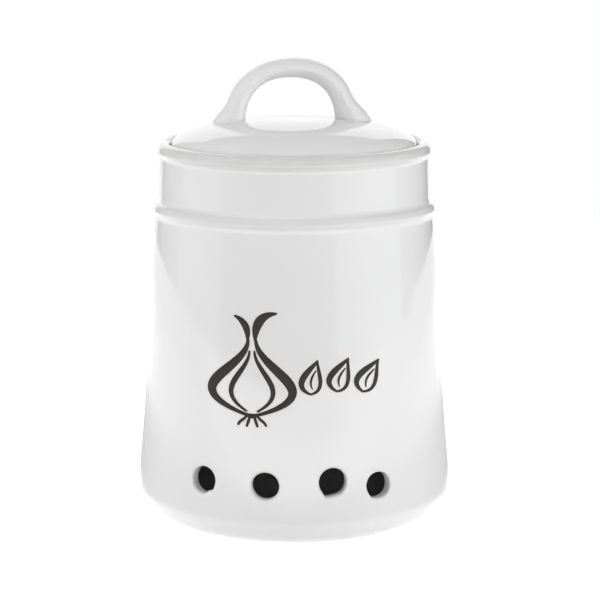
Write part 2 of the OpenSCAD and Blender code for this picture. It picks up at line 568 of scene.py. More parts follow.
@dataclass(frozen=True)
class BareClay:
    """Unglazed fired clay, where a piece stands or rests.

    Attributes:
        name: Name of the material.
        colour: Colour of the clay.
        grit_colour: Colour of its coarser grains.
        grain: Depth in metres of its grain.
    """

    name: str
    colour: Colour
    grit_colour: Colour
    grain: float

    def make(self) -> Material:
        """Makes the material and returns it."""
        material = bpy.data.materials.new(self.name)
        bench, shader = principled(material)
        place = bench.add("ShaderNodeTexCoord").outputs["Object"]
        grain_scale, stain_scale, worn_share = 1400.0, 60.0, 0.82
        grains = bench.noise(place, grain_scale, 3.0)
        stain = bench.noise(place, stain_scale, 3.0)
        clay = bench.blend(bench.ramp(grains, 0.52, 0.72), self.colour, self.grit_colour)
        worn = tuple(worn_share * value for value in self.colour)
        clay = bench.blend(bench.math("MULTIPLY", bench.ramp(stain, 0.5, 0.8), 0.5), clay, worn)
        bench.join(clay, shader.inputs["Base Color"])
        bench.join(bench.ramp(grains, 0.3, 0.7, (0.72, 0.92)), shader.inputs["Roughness"])
        bump(bench, shader, grains, self.grain)
        return material


# --- The jar ---


@dataclass(frozen=True)
class Nick:
    """A small burr or nick in a punched edge.

    Attributes:
        angle: Its direction from the hole's centre, in degrees from the right upwards.
        depth: How far it moves the edge, outwards if positive.
        width: Its width in degrees.
    """

    angle: float
    depth: float
    width: float


@dataclass(frozen=True)
class Vent:
    """One hand-punched vent hole.

    Attributes:
        azimuth: Its direction from the front, in degrees to the right.
        height: Height of its centre.
        radius: Mean radius of the hole.
        stretch: Share by which it is longer than wide.
        lean: Direction of its long axis in degrees.
        nicks: Burrs and nicks in its edge.
    """

    azimuth: float
    height: float
    radius: float
    stretch: float = 0.0
    lean: float = 90.0
    nicks: tuple[Nick, ...] = ()

    def edge(self, angle: float) -> float:
        """Returns the hole's radius in a direction, given in radians."""
        size = self.radius * (1.0 + self.stretch * math.cos(2.0 * (angle - math.radians(self.lean))))
        for nick in self.nicks:
            away = (math.degrees(angle) - nick.angle + 180.0) % 360.0 - 180.0
            size += nick.depth * math.exp(-((away / nick.width) ** 2))
        return size

    def place(self, across: float, up: float, out: float) -> Point3:
        """Returns the point at distances across, above and out along the hole's axis."""
        turn = math.radians(self.azimuth)
        x = across * math.cos(turn) + out * math.sin(turn)
        y = across * math.sin(turn) - out * math.cos(turn)
        return x, y, self.height + up


@dataclass
class Jar:
    """The jar: foot ring, tapered body with vents, ring bead, neck, rim and lid ledge.

    Attributes:
        body_r: Widest radius, just above the base corner.
        rim_top: Height of the rim's crest.
        shoulder_r: Radius of the body under the ring bead.
        shoulder_z: Height of that place.
        corner: Width and height of the rounded base corner.
        corner_end: Angle at which the corner becomes the side, in degrees above the level.
        bow: Share of the taper by which the side bows outwards.
        wall: Thickness of the wall.
        bottom: Height of the inside bottom.
        foot_hollow: Depth of the hollow inside the foot ring.
        foot_ring: Width of the foot ring.
        bead: Radius of the ring bead's section.
        bead_r: Outside radius over the ring bead.
        bead_rise: Height of the middle of its section above the shoulder.
        bead_lift: How much higher the ring bead lies in front than at the sides.
        bead_fillets: Radii of the fillets under and over it.
        bead_thin_and_shade: How far the glaze has thinned on it, with painted shade laid in that grey over
            the bead.
        neck_low_r: Radius of the neck just above the ring bead.
        neck_high_r: Radius of the neck just under the rim.
        rim_r: Outside radius of the rim.
        rim: Radius of the rim's outer rounding.
        rim_fillet: Radius of the fillet under it.
        rim_thin_and_shade: How far the glaze has thinned on it, with painted shade laid in that grey over the
            rim's outer rounding.
        ledge_drop: Depth of the lid ledge under the rim's crest.
        mouth_r: Radius of the mouth.
        ledge_r: Inner radius of the ledge.
        columns: Number of columns round the jar.
        half_window: Number of columns left open on each side of a vent's middle.
        window_reach: Height left open above and below it.
        vents: The vent holes.
        unevenness: The waviness of its outside.
    """

    body_r: float
    rim_top: float
    shoulder_r: float = 52.7
    shoulder_z: float = 113.7
    corner: Point2 = (12.7, 10.75)
    corner_end: float = 4.7
    bow: float = 0.32
    wall: float = 3.7
    bottom: float = 5.0
    foot_hollow: float = 1.6
    foot_ring: float = 4.8
    bead: float = 3.1
    bead_r: float = 53.25
    bead_rise: float = 4.0
    bead_lift: float = 0.9
    bead_fillets: Point2 = (5.0, 2.2)
    bead_thin_and_shade: float = 0.6
    neck_low_r: float = 50.95
    neck_high_r: float = 50.6
    rim_r: float = 51.6
    rim: float = 2.9
    rim_fillet: float = 3.2
    rim_thin_and_shade: float = 0.9
    ledge_drop: float = 4.4
    mouth_r: float = 46.4
    ledge_r: float = 43.15
    columns: int = 288
    half_window: int = 7
    window_reach: float = 8.6
    vents: tuple[Vent, ...] = (
        Vent(-34.4, 24.1, 4.9, 0.0, 80.0, (Nick(-60.0, -0.55, 9.0), Nick(-35.0, 0.3, 8.0))),
        Vent(-10.4, 24.0, 5.0, -0.015, 90.0),
        Vent(13.8, 25.3, 5.1, 0.01, 80.0, (Nick(-118.0, 0.75, 13.0), Nick(-75.0, -0.2, 14.0))),
        Vent(31.5, 22.5, 4.85, -0.015, 80.0, (Nick(-128.0, 0.3, 12.0), Nick(-80.0, -0.15, 20.0))),
    )
    unevenness: Unevenness = Unevenness(0.09, 38.0, 4.0)

    @property
    def foot_r(self) -> float:
        """Outer radius of the foot ring."""
        return self.body_r - self.corner[0]

    @property
    def side_low(self) -> Point2:
        """Radius and height at which the side leaves the base corner."""
        angle = math.radians(self.corner_end)
        return self.foot_r + self.corner[0] * math.cos(angle), self.corner[1] * (1.0 + math.sin(angle))

    @property
    def ledge_z(self) -> float:
        """Height of the ledge that the lid rests on."""
        return self.rim_top - self.ledge_drop

    @property
    def bead_z(self) -> float:
        """Height of the middle of the ring bead."""
        return self.shoulder_z + self.bead_rise

    def side_radius(self, z: float) -> float:
        """Returns the radius of the body's side at a height."""
        low_r, low_z = self.side_low
        share = (z - low_z) / (self.shoulder_z - low_z)
        pull_r = self.shoulder_r + self.bow * (self.body_r - self.shoulder_r)
        rest = 1.0 - share
        return rest * rest * low_r + 2.0 * share * rest * pull_r + share * share * self.shoulder_r

    def inner_radius(self, z: float) -> float:
        """Returns the radius of the inside of the body at a height."""
        return self.side_radius(z) - self.wall

    def wobble(self, azimuth: float, r: float, z: float) -> float:
        """Returns the hand-made offset of the outside, which fades out at the foot and the neck."""
        reach = 12.0
        fade = smooth_step(z / reach) * smooth_step((self.shoulder_z - z) / reach)
        return fade * self.unevenness.at(*around(r, azimuth, z))

    def sway(self, azimuth: float, r: float, z: float) -> float:
        """Returns how much higher the outside lies there, since the ring bead isn't quite level."""
        reach, mouth_more = 14.0, 1.0
        outside = r > self.mouth_r + mouth_more
        fade = smooth_step(1.0 - abs(z - self.bead_z) / reach)
        return self.bead_lift * fade * math.cos(azimuth) if outside else 0.0

    def heights(self) -> list[float]:
        """Returns the heights of the side's rows, closer together where the vents are."""
        vents_low, vents_high, fine, coarse = 13.4, 36.2, 1.2, 2.6
        low = self.side_low[1]
        fine_rows = round((vents_high - vents_low) / fine)
        coarse_rows = round((self.shoulder_z - vents_high) / coarse)
        rows = [low + (vents_low - low) * 0.5]
        rows += [mix(vents_low, vents_high, i / fine_rows) for i in range(fine_rows + 1)]
        rows += [mix(vents_high, self.shoulder_z, i / coarse_rows) for i in range(1, coarse_rows + 1)]
        return rows

    def bead_profile(self, path: ProfilePath) -> None:
        """Draws the ring bead with its two soft fillets, from the body to the neck."""
        mid_r, mid_z = self.bead_r - self.bead, self.bead_z
        below, above = self.bead_fillets
        drop, low_touch = fillet_touch(mid_r, self.bead, self.shoulder_r, below)
        rise, high_touch = fillet_touch(mid_r, self.bead, self.neck_low_r, above)
        path.arc((self.shoulder_r + below, mid_z - drop), (below, below), 180.0, 180.0 - low_touch, 8)
        # The ring bead gets the thin-glaze grey as painted shade as well as thinning.
        path.arc((mid_r, mid_z), (self.bead, self.bead), -low_touch, high_touch, 14, self.bead_thin_and_shade)
        path.arc((self.neck_low_r + above, mid_z + rise), (above, above), 180.0 + high_touch, 180.0, 6)

    def rim_profile(self, path: ProfilePath) -> None:
        """Draws the rim, from the neck over its crest into the mouth."""
        mid_r, mid_z = self.rim_r - self.rim, self.rim_top - self.rim
        fillet, mouth_thin = self.rim_fillet, 0.3
        drop, touch = fillet_touch(mid_r, self.rim, self.neck_high_r, fillet)
        path.line(self.neck_high_r, mid_z - drop, 9)
        path.arc((self.neck_high_r + fillet, mid_z - drop), (fillet, fillet), 180.0, 180.0 - touch, 8)
        # The rim's outer rounding gets the thin-glaze grey as painted shade as well as thinning.
        path.arc((mid_r, mid_z), (self.rim, self.rim), -touch, 90.0, 14, self.rim_thin_and_shade)
        path.arc((mid_r, mid_z), (mid_r - self.mouth_r, self.rim), 90.0, 180.0, 8, mouth_thin)

    def inside_profile(self, path: ProfilePath, heights: Sequence[float]) -> None:
        """Draws the ledge and the inside, down to the centre of the bottom."""
        soft, cove, lip, neck_rise, slope_more, lip_thin = 0.6, 1.7, 1.3, 7.0, 2.0, 0.4
        neck_in_r = self.neck_low_r - self.wall
        ledge = self.ledge_z
        slope = self.mouth_r - self.ledge_r + slope_more
        path.arc((self.mouth_r - cove, ledge + cove), (cove, cove), 0.0, -90.0, 7)
        path.line(self.ledge_r + soft, ledge, 3, Finish.EDGE)
        path.arc((self.ledge_r + soft, ledge - soft), (soft, soft), 90.0, 180.0, 4, lip_thin)
        path.line(self.ledge_r, ledge - lip, 1)
        path.line(neck_in_r, ledge - lip - slope, 5)
        path.line(neck_in_r, self.shoulder_z + neck_rise, 5)
        path.line(self.inner_radius(self.shoulder_z), self.shoulder_z, 4)
        path.curve(self.inner_radius, list(reversed(heights))[1:])
        low_r, low_z = self.side_low
        turn = low_z - self.bottom
        path.arc((low_r - self.wall - turn, low_z), (turn, turn), 0.0, -90.0, 8)
        path.line(0.0, self.bottom, 8)

    def profile(self) -> ProfilePath:
        """Returns the jar's closed profile, from the centre of the underside to that of the bottom."""
        soft, chamfer, chamfer_h, bare_end, bare_h = 0.8, 0.4, 0.25, 0.6, 0.1
        hollow_r = self.foot_r - self.foot_ring
        roof_r = hollow_r - 3.0 * soft
        heights = self.heights()
        path = ProfilePath.start(0.0, self.foot_hollow)
        path.line(roof_r, self.foot_hollow, 6)
        path.arc((roof_r, self.foot_hollow - soft), (soft, soft), 90.0, 20.0, 4)
        path.line(hollow_r - chamfer, chamfer_h, 2)
        path.line(hollow_r, 0.0, 1, Finish.EDGE)
        path.line(self.foot_r - bare_end, 0.0, 3, Finish.EDGE)
        path.line(self.foot_r + chamfer, bare_h, 1, Finish.EDGE)
        path.arc((self.foot_r, self.corner[1]), self.corner, -86.0, self.corner_end, 18)
        path.curve(self.side_radius, heights)
        self.bead_profile(path)
        self.rim_profile(path)
        self.inside_profile(path, heights)
        return path

    def wall_point(self, vent: Vent, across: float, up: float, depth: float) -> Point3:
        """Returns a point at or under the wall's outside, near a vent.

        Args:
            vent: The vent whose axis gives the directions.
            across: Distance to the right of its axis.
            up: Distance above its axis.
            depth: Distance under the outside, along the axis.

        Returns:
            The point.
        """
        z = vent.height + up
        r = self.side_radius(z)
        azimuth = math.radians(vent.azimuth) + math.asin(across / r)
        out = math.sqrt((r + self.wobble(azimuth, r, z)) ** 2 - across * across) - depth
        return vent.place(across, up, out)

    def inner_point(self, vent: Vent, across: float, up: float, lift: float) -> Point3:
        """Returns a point at the wall's inside, or lifted from it into the wall, near a vent."""
        out = math.sqrt(self.inner_radius(vent.height + up) ** 2 - across * across) + lift
        return vent.place(across, up, out)

    def punch(self, draft: MeshDraft, vent: Vent, outer: list[int], inner: list[int]) -> None:
        """Fills the gap left for a vent with a rounded hole through the wall.

        Args:
            draft: The jar's mesh.
            vent: The hole.
            outer: The outside gap's border, as a closed ring of vertices.
            inner: The inside gap's border, in the same order.
        """
        turn = math.radians(vent.azimuth)
        right = (math.cos(turn), math.sin(turn))
        soft_out, soft_in, arc_steps, edge_thin = 0.75, 0.7, 6, 0.8

        def border(ring: list[int]) -> list[Point2]:
            """Returns each border vertex's place across and above the vent's axis."""
            places = [draft.points[number] for number in ring]
            return [(x * right[0] + y * right[1], z - vent.height) for x, y, z in places]

        def spread(ring: list[int], grow: float, share: float) -> list[Point2]:
            """Returns a ring between the hole's edge, widened by grow, and the border."""
            places = []
            for across, up in border(ring):
                angle = math.atan2(up, across)
                size = vent.edge(angle) + grow
                edge = (size * math.cos(angle), size * math.sin(angle))
                places.append((mix(edge[0], across, share), mix(edge[1], up, share)))
            return places

        def outside(grow: float, share: float, depth: float, thin: float = 0.0) -> list[int]:
            """Adds a ring at a depth under the wall's outside."""
            places = spread(outer, grow, share)
            return draft.ring((self.wall_point(vent, a, u, depth) for a, u in places), thin)

        def inside(grow: float, share: float, lift: float) -> list[int]:
            """Adds a ring lifted into the wall from its inside."""
            return draft.ring(self.inner_point(vent, a, u, lift) for a, u in spread(inner, grow, share))

        def rounding(step: int, size: float) -> Point2:
            """Returns how far a rounded edge stands back and lies deep at a step."""
            angle = 0.5 * math.pi * step / arc_steps
            return size * (1.0 - math.sin(angle)), size * (1.0 - math.cos(angle))

        rings = [outer]
        rings += [outside(soft_out, share, 0.0) for share in (0.7, 0.42, 0.18)]
        for step in range(arc_steps + 1):
            grow, depth = rounding(step, soft_out)
            rings.append(outside(grow, 0.0, depth, edge_thin * math.sin(math.pi * step / arc_steps)))
        rings += [outside(0.0, 0.0, mix(soft_out, self.wall - soft_in, share)) for share in (0.35, 0.7)]
        for step in range(arc_steps, -1, -1):
            grow, lift = rounding(step, soft_in)
            rings.append(inside(grow, 0.0, lift))
        rings += [inside(soft_in, share, 0.0) for share in (0.25, 0.6)]
        rings.append(inner)
        for first, second in zip(rings, rings[1:]):
            draft.bridge(first, second)

    def build(self, glaze: Material, clay: Material) -> Piece:
        """Makes the jar's mesh.

        Args:
            glaze: Its glaze.
            clay: The bare clay of the foot ring and the ledge.

        Returns:
            The jar.
        """
        path = self.profile().points
        draft = MeshDraft()
        rows = draft.turned(path, self.columns, self.place, self.gaps(path[1:-1]))
        draft.fan(rows[0], draft.point((0.0, 0.0, path[0].z)))
        draft.fan(rows[-1], draft.point((0.0, 0.0, path[-1].z)))
        for vent in self.vents:
            self.punch(draft, vent, *self.borders(vent, path[1:-1], rows))
        return draft.build("jar_shell", (glaze, clay))

    def place(self, point: ProfilePoint, azimuth: float) -> Point3:
        """Returns where a point of the profile lies at an azimuth, with the offsets of handwork."""
        outside = point.r >= self.side_radius(point.z) - ON_THE_LINE and point.z < self.shoulder_z
        r = point.r + (self.wobble(azimuth, point.r, point.z) if outside else 0.0)
        return around(r, azimuth, point.z + self.sway(azimuth, point.r, point.z))

    def window(self, vent: Vent, path: Sequence[ProfilePoint]) -> tuple[int, int, int, int, int]:
        """Finds the rows and columns left open for a vent.

        Args:
            vent: The vent.
            path: The profile's points that have a row.

        Returns:
            The lowest and highest row outside, the lowest and highest row inside, and the middle column.
        """
        outside = [i for i, p in enumerate(path) if abs(p.r - self.side_radius(p.z)) < ON_THE_LINE]
        inside = [i for i, p in enumerate(path) if abs(p.r - self.inner_radius(p.z)) < ON_THE_LINE]
        near_out = [i for i in outside if abs(path[i].z - vent.height) <= self.window_reach]
        heights = {round(path[i].z, 4) for i in near_out}
        near_in = [i for i in inside if round(path[i].z, 4) in heights]
        middle = round(math.radians(vent.azimuth) / (2.0 * math.pi) * self.columns)
        return min(near_out), max(near_out), min(near_in), max(near_in), middle

    def gaps(self, path: Sequence[ProfilePoint]) -> set[tuple[int, int]]:
        """Returns the rows and columns of the faces left out for the vents."""
        left_out = set()
        for vent in self.vents:
            low_out, high_out, low_in, high_in, middle = self.window(vent, path)
            columns = [(middle + i) % self.columns for i in range(-self.half_window, self.half_window)]
            rows = [*range(low_out, high_out), *range(low_in, high_in)]
            left_out.update((row, column) for row in rows for column in columns)
        return left_out

    def borders(
        self, vent: Vent, path: Sequence[ProfilePoint], rows: list[list[int]]
    ) -> tuple[list[int], list[int]]:
        """Returns the closed borders of a vent's gaps, outside and inside, in the same order."""
        low_out, high_out, low_in, high_in, middle = self.window(vent, path)
        half = self.half_window

        def border(bottom: int, top: int, step: int) -> list[int]:
            """Walks round a gap, starting at its lower left corner."""
            columns = [(middle + i) % self.columns for i in range(-half, half + 1)]
            levels = list(range(bottom, top + step, step))
            ring = [rows[bottom][column] for column in columns]
            ring += [rows[level][columns[-1]] for level in levels[1:]]
            ring += [rows[top][column] for column in reversed(columns[:-1])]
            ring += [rows[level][columns[0]] for level in reversed(levels[1:-1])]
            return ring

        return border(low_out, high_out, 1), border(high_in, low_in, -1)


# --- The lid and its handle ---


@dataclass
class Lid:
    """The lid: a hollow dome with a flat edge and a locating skirt.

    Attributes:
        edge_r: Radius of its edge.
        ledge_z: Height of the ledge that it rests on.
        edge_h: Height of the edge, up to where the dome starts.
        rise: Rise of the dome above that.
        breadth: Power that makes the dome broad on top.
        root: Power that makes it steep at its edge.
        wall: Thickness of the dome and the skirt.
        skirt_r: Outer radius of the skirt.
        skirt_h: Depth of the skirt.
        columns: Number of columns round the lid.
        unevenness: The waviness of its dome.
    """

    edge_r: float
    ledge_z: float
    edge_h: float = 3.4
    rise: float = 9.7
    breadth: float = 3.1
    root: float = 0.63
    wall: float = 3.6
    skirt_r: float = 42.35
    skirt_h: float = 8.0
    columns: int = 192
    unevenness: Unevenness = Unevenness(0.05, 26.0, 9.0)

    def height(self, r: float) -> float:
        """Returns the height of the dome's outside at a distance from its centre."""
        share = min(1.0, r / self.edge_r)
        return self.ledge_z + self.edge_h + self.rise * (1.0 - share**self.breadth) ** self.root

    def profile(self) -> ProfilePath:
        """Returns the lid's closed profile, from the top of the dome to the middle of its hollow."""
        path = ProfilePath.start(0.0, self.height(0.0))
        dome_steps, soft, under_soft, skirt_soft, thin_width = 40, 0.9, 1.9, 1.5, 1.2
        for i in range(1, dome_steps + 1):
            r = self.edge_r * math.sin(0.5 * math.pi * i / dome_steps)
            thin = 0.4 * smooth_step((r - self.edge_r + thin_width) / thin_width)
            path.points.append(ProfilePoint(r, self.height(r), thin))
        path.line(self.edge_r, self.ledge_z + under_soft, 2)
        under = (self.edge_r - under_soft, self.ledge_z + under_soft)
        path.arc(under, (under_soft, under_soft), 0.0, -90.0, 8)
        path.line(self.skirt_r + soft, self.ledge_z, 3, Finish.EDGE)
        path.arc((self.skirt_r + soft, self.ledge_z - soft), (soft, soft), 90.0, 180.0, 4)
        low = self.ledge_z - self.skirt_h
        path.line(self.skirt_r, low + skirt_soft, 4)
        path.arc((self.skirt_r - skirt_soft, low + skirt_soft), (skirt_soft, skirt_soft), 0.0, -90.0, 5, 0.3)
        inner_r = self.skirt_r - self.wall
        path.arc((inner_r + skirt_soft, low + skirt_soft), (skirt_soft, skirt_soft), -90.0, -180.0, 5, 0.3)
        turn, hollow_steps = 4.0, 14
        roof = self.height(inner_r - turn) - self.wall
        path.line(inner_r, roof - turn, 4)
        path.arc((inner_r - turn, roof - turn), (turn, turn), 0.0, 84.0, 7)
        for i in range(1, hollow_steps + 1):
            r = (inner_r - turn) * (1.0 - i / hollow_steps)
            path.points.append(ProfilePoint(r, self.height(r) - self.wall))
        return path

    def build(self, glaze: Material, clay: Material) -> Piece:
        """Makes the lid's mesh from its glaze and the bare clay of its edge, and returns it."""
        path = self.profile().points
        draft = MeshDraft()
        rows = draft.turned(path, self.columns, self.place)
        draft.fan(rows[0], draft.point((0.0, 0.0, self.surface(0.0, 0.0))))
        draft.fan(rows[-1], draft.point((0.0, 0.0, path[-1].z)))
        return draft.build("lid_dome", (glaze, clay))

    def place(self, point: ProfilePoint, azimuth: float) -> Point3:
        """Returns where a point of the profile lies at an azimuth, with the dome's unevenness."""
        x, y, z = around(point.r, azimuth, point.z)
        above = z > self.ledge_z + self.edge_h
        return x, y, z + (self.lift(x, y) if above else 0.0)

    def lift(self, x: float, y: float) -> float:
        """Returns the hand-made offset of the dome, which fades out at its edge and never adds height."""
        reach = 8.0
        fade = smooth_step((self.edge_r - math.hypot(x, y)) / reach)
        return fade * (self.unevenness.at(x, y, 0.0) - self.unevenness.amount)

    def surface(self, x: float, y: float) -> float:
        """Returns the height of the finished dome at a place."""
        return self.height(math.hypot(x, y)) + self.lift(x, y)


@dataclass
class Handle:
    """The arched strap, luted to the dome at both feet.

    Attributes:
        lid: The lid that it stands on.
        top_z: Height of its top.
        centre_z: Height of the middle of the arch's ellipses.
        halves: Half widths of the arch, outside, on the left and the right.
        shape: Power of the arch's outer curve, where 2 is an ellipse.
        gap_half: Half width of the finger gap.
        gap_shape: Power of the gap's curve.
        gap_shift: Sideways offset of the gap from the arch.
        thick: Thickness of the strap at its top.
        width: Width of the strap at its top, front to back.
        foot_width: Width of the strap at its feet.
        flares: How far the left and the right foot flare outwards.
        flare_heights: Heights over which they flare.
        squareness: Powers of the section on the left and the right side, where 2 is an ellipse.
        pinch: Shares by which the section's front narrows towards the gap, left and right.
        turn: Turn away from square to the front, in degrees.
        stations: Number of steps along the arch.
        sides: Number of points round the section.
        unevenness: The waviness of its surface.
    """

    lid: Lid
    top_z: float
    centre_z: float = 148.9
    halves: Point2 = (26.7, 23.9)
    shape: float = 2.19
    gap_half: float = 16.85
    gap_shape: float = 2.36
    gap_shift: float = -1.44
    thick: float = 7.9
    width: float = 15.2
    foot_width: float = 16.4
    flares: Point2 = (4.35, 5.5)
    flare_heights: Point2 = (9.4, 11.5)
    squareness: Point2 = (2.15, 1.8)
    pinch: Point2 = (0.0, 0.35)
    turn: float = 4.5
    stations: int = 96
    sides: int = 56
    unevenness: Unevenness = Unevenness(0.06, 14.0, 21.0)

    def place(self, angle: float, section: float) -> Vector:
        """Returns a point of the strap's surface.

        Args:
            angle: Angle along the arch in radians, from the right foot over the top.
            section: Angle round the strap's section in radians, from its outer side to the back.

        Returns:
            The point, in the keeper's frame.
        """
        rise = self.top_z - self.centre_z
        gap_rise = rise - self.thick
        on_right = math.cos(angle) > 0.0
        flare = self.flares[1] if on_right else -self.flares[0]
        outer_z = self.centre_z + rise * signed_power(math.sin(angle), 2.0 / self.shape)
        flare_h = self.flare_heights[on_right]
        low = smooth_step((self.centre_z + flare_h - outer_z) / flare_h)
        outer_x = self.halves[on_right] * signed_power(math.cos(angle), 2.0 / self.shape)
        outer = Vector((outer_x + flare * low, 0.0, outer_z))
        inner_x = self.gap_half * signed_power(math.cos(angle), 2.0 / self.gap_shape)
        inner_z = self.centre_z + gap_rise * signed_power(math.sin(angle), 2.0 / self.gap_shape)
        inner = Vector((inner_x + self.gap_shift, 0.0, inner_z))
        towards_right = smooth_step(0.5 + 0.5 * math.cos(angle))
        power = 2.0 / mix(*self.squareness, towards_right)
        across = signed_power(math.cos(section), power)
        back = signed_power(math.sin(section), power)
        foot_spread = 4
        foot = abs(math.cos(angle)) ** foot_spread
        width = mix(self.width, self.foot_width, foot)
        if back < 0.0 and across < 0.0:
            back *= 1.0 + mix(*self.pinch, towards_right) * across
        middle = (outer + inner) / 2.0
        point = middle + (outer - inner) / 2.0 * across + Vector((0.0, 0.5 * width * back, 0.0))
        away = point - middle
        wave = self.unevenness.at(point.x, point.y, point.z) - self.unevenness.amount
        point += away.normalized() * wave
        return Matrix.Rotation(math.radians(self.turn), 3, "Z") @ point

    def landing(self, section: float, right: bool, clearance: float) -> float:
        """Finds the angle at which a line along the strap comes down to the dome.

        Args:
            section: Angle round the section.
            right: True for the right foot.
            clearance: Height above the dome at which to stop.

        Returns:
            The angle along the arch.
        """
        deepest, highest, halvings = -0.35, 1.0, 40
        low, high = (deepest, highest) if right else (math.pi - deepest, math.pi - highest)
        for _ in range(halvings):
            middle = 0.5 * (low + high)
            point = self.place(middle, section)
            if point.z < self.lid.surface(point.x, point.y) + clearance:
                low = middle
            else:
                high = middle
        return 0.5 * (low + high)

    def cove(self, draft: MeshDraft, ring: list[int], centre: Vector) -> list[list[int]]:
        """Makes the small slip fillet that runs from a foot's edge onto the dome, greyed as painted shade in
        the joint.

        Args:
            draft: The handle's mesh.
            ring: The foot's last ring.
            centre: The middle of the foot.

        Returns:
            The fillet's rings, outwards.
        """
        # The fillet's grey is painted shade where the foot meets the dome.
        rings, thin = [], 0.3
        steps = ((0.08, 0.28), (0.24, 0.1), (0.5, 0.0), (0.6, -0.25))
        for out, lift in steps:
            places = []
            for number in ring:
                point = Vector(draft.points[number])
                away = Vector((point.x - centre.x, point.y - centre.y, 0.0)).normalized()
                moved = point + away * out
                places.append((moved.x, moved.y, self.lid.surface(moved.x, moved.y) + lift))
            rings.append(draft.ring(places, thin))
        return rings

    def build(self, glaze: Material) -> Piece:
        """Makes the handle's mesh from its glaze, and returns it."""
        draft = MeshDraft()
        sections = [2.0 * math.pi * i / self.sides for i in range(self.sides)]
        clearance, depth, evenness = 0.55, 0.6, 0.45
        starts = [self.landing(section, True, clearance) for section in sections]
        ends = [self.landing(section, False, clearance) for section in sections]
        rings = []
        for station in range(self.stations + 1):
            share = station / self.stations
            eased = 0.5 - 0.5 * math.cos(math.pi * share)
            along = mix(share, eased, evenness)
            places = [self.place(mix(a, b, along), s) for a, b, s in zip(starts, ends, sections)]
            rings.append(draft.ring(places))
        for first, second in zip(rings, rings[1:]):
            draft.bridge(first, second)
        for foot in (rings[0], rings[-1]):
            middle = sum((Vector(draft.points[number]) for number in foot), Vector()) / len(foot)
            skirt = self.cove(draft, foot, middle)
            for first, second in zip([foot, *skirt], skirt):
                draft.bridge(first, second)
            sunk = self.lid.surface(middle.x, middle.y) - depth
            draft.fan(skirt[-1], draft.point((middle.x, middle.y, sunk)))
        return draft.build("lid_handle_strap", (glaze,))


# --- The motif ---


@dataclass(frozen=True)
class Stroke:
    """A brush stroke along a cubic curve, in the plane of the drawing.

    Attributes:
        points: The curve's four control points, as distance to the right and height.
        thin: Width at its ends.
        thick: Width in its middle.
    """

    points: tuple[Point2, Point2, Point2, Point2]
    thin: float
    thick: float

    def moved(self, shift: Point2, turn: float = 0.0, mirrored: bool = False) -> Stroke:
        """Returns the stroke mirrored, then turned in degrees, then shifted."""
        angle = math.radians(turn)
        flip = -1.0 if mirrored else 1.0
        moved = []
        for x, z in self.points:
            x *= flip
            moved.append((
                shift[0] + x * math.cos(angle) - z * math.sin(angle),
                shift[1] + x * math.sin(angle) + z * math.cos(angle),
            ))
        return Stroke(tuple(moved), self.thin, self.thick)

    def centre(self, t: float) -> Vector:
        """Returns the point of the curve at a share of its length."""
        a, b, c, d = (Vector(point) for point in self.points)
        s = 1.0 - t
        return a * s**3 + b * (3.0 * t * s * s) + c * (3.0 * t * t * s) + d * t**3

    def across(self, t: float) -> Vector:
        """Returns the unit vector across the curve at a share of its length."""
        gap = 0.01
        ahead = self.centre(min(1.0, t + gap)) - self.centre(max(0.0, t - gap))
        return Vector((-ahead.y, ahead.x)).normalized()

    def spans(self, steps: int) -> list[tuple[Vector, Vector, float]]:
        """Returns places along the stroke with rounded ends.

        Args:
            steps: Number of steps along the curve.

        Returns:
            For each place its middle, the unit vector across and half the width.
        """
        cap = 5
        spans = []
        for end in (0.0, 1.0):
            across = self.across(end)
            outward = Vector((across.y, -across.x)) * (1.0 if end else -1.0)
            half = self.thin / 2.0
            rounded = []
            for i in range(1, cap + 1):
                angle = 0.5 * math.pi * i / (cap + 0.4)
                middle = self.centre(end) + outward * half * math.sin(angle)
                rounded.append((middle, across, half * math.cos(angle)))
            spans.append(rounded)
        body = []
        for i in range(steps + 1):
            t = i / steps
            half = (self.thin + (self.thick - self.thin) * math.sin(math.pi * t)) / 2.0
            body.append((self.centre(t), self.across(t), half))
        return [*reversed(spans[0]), *body, *spans[1]]


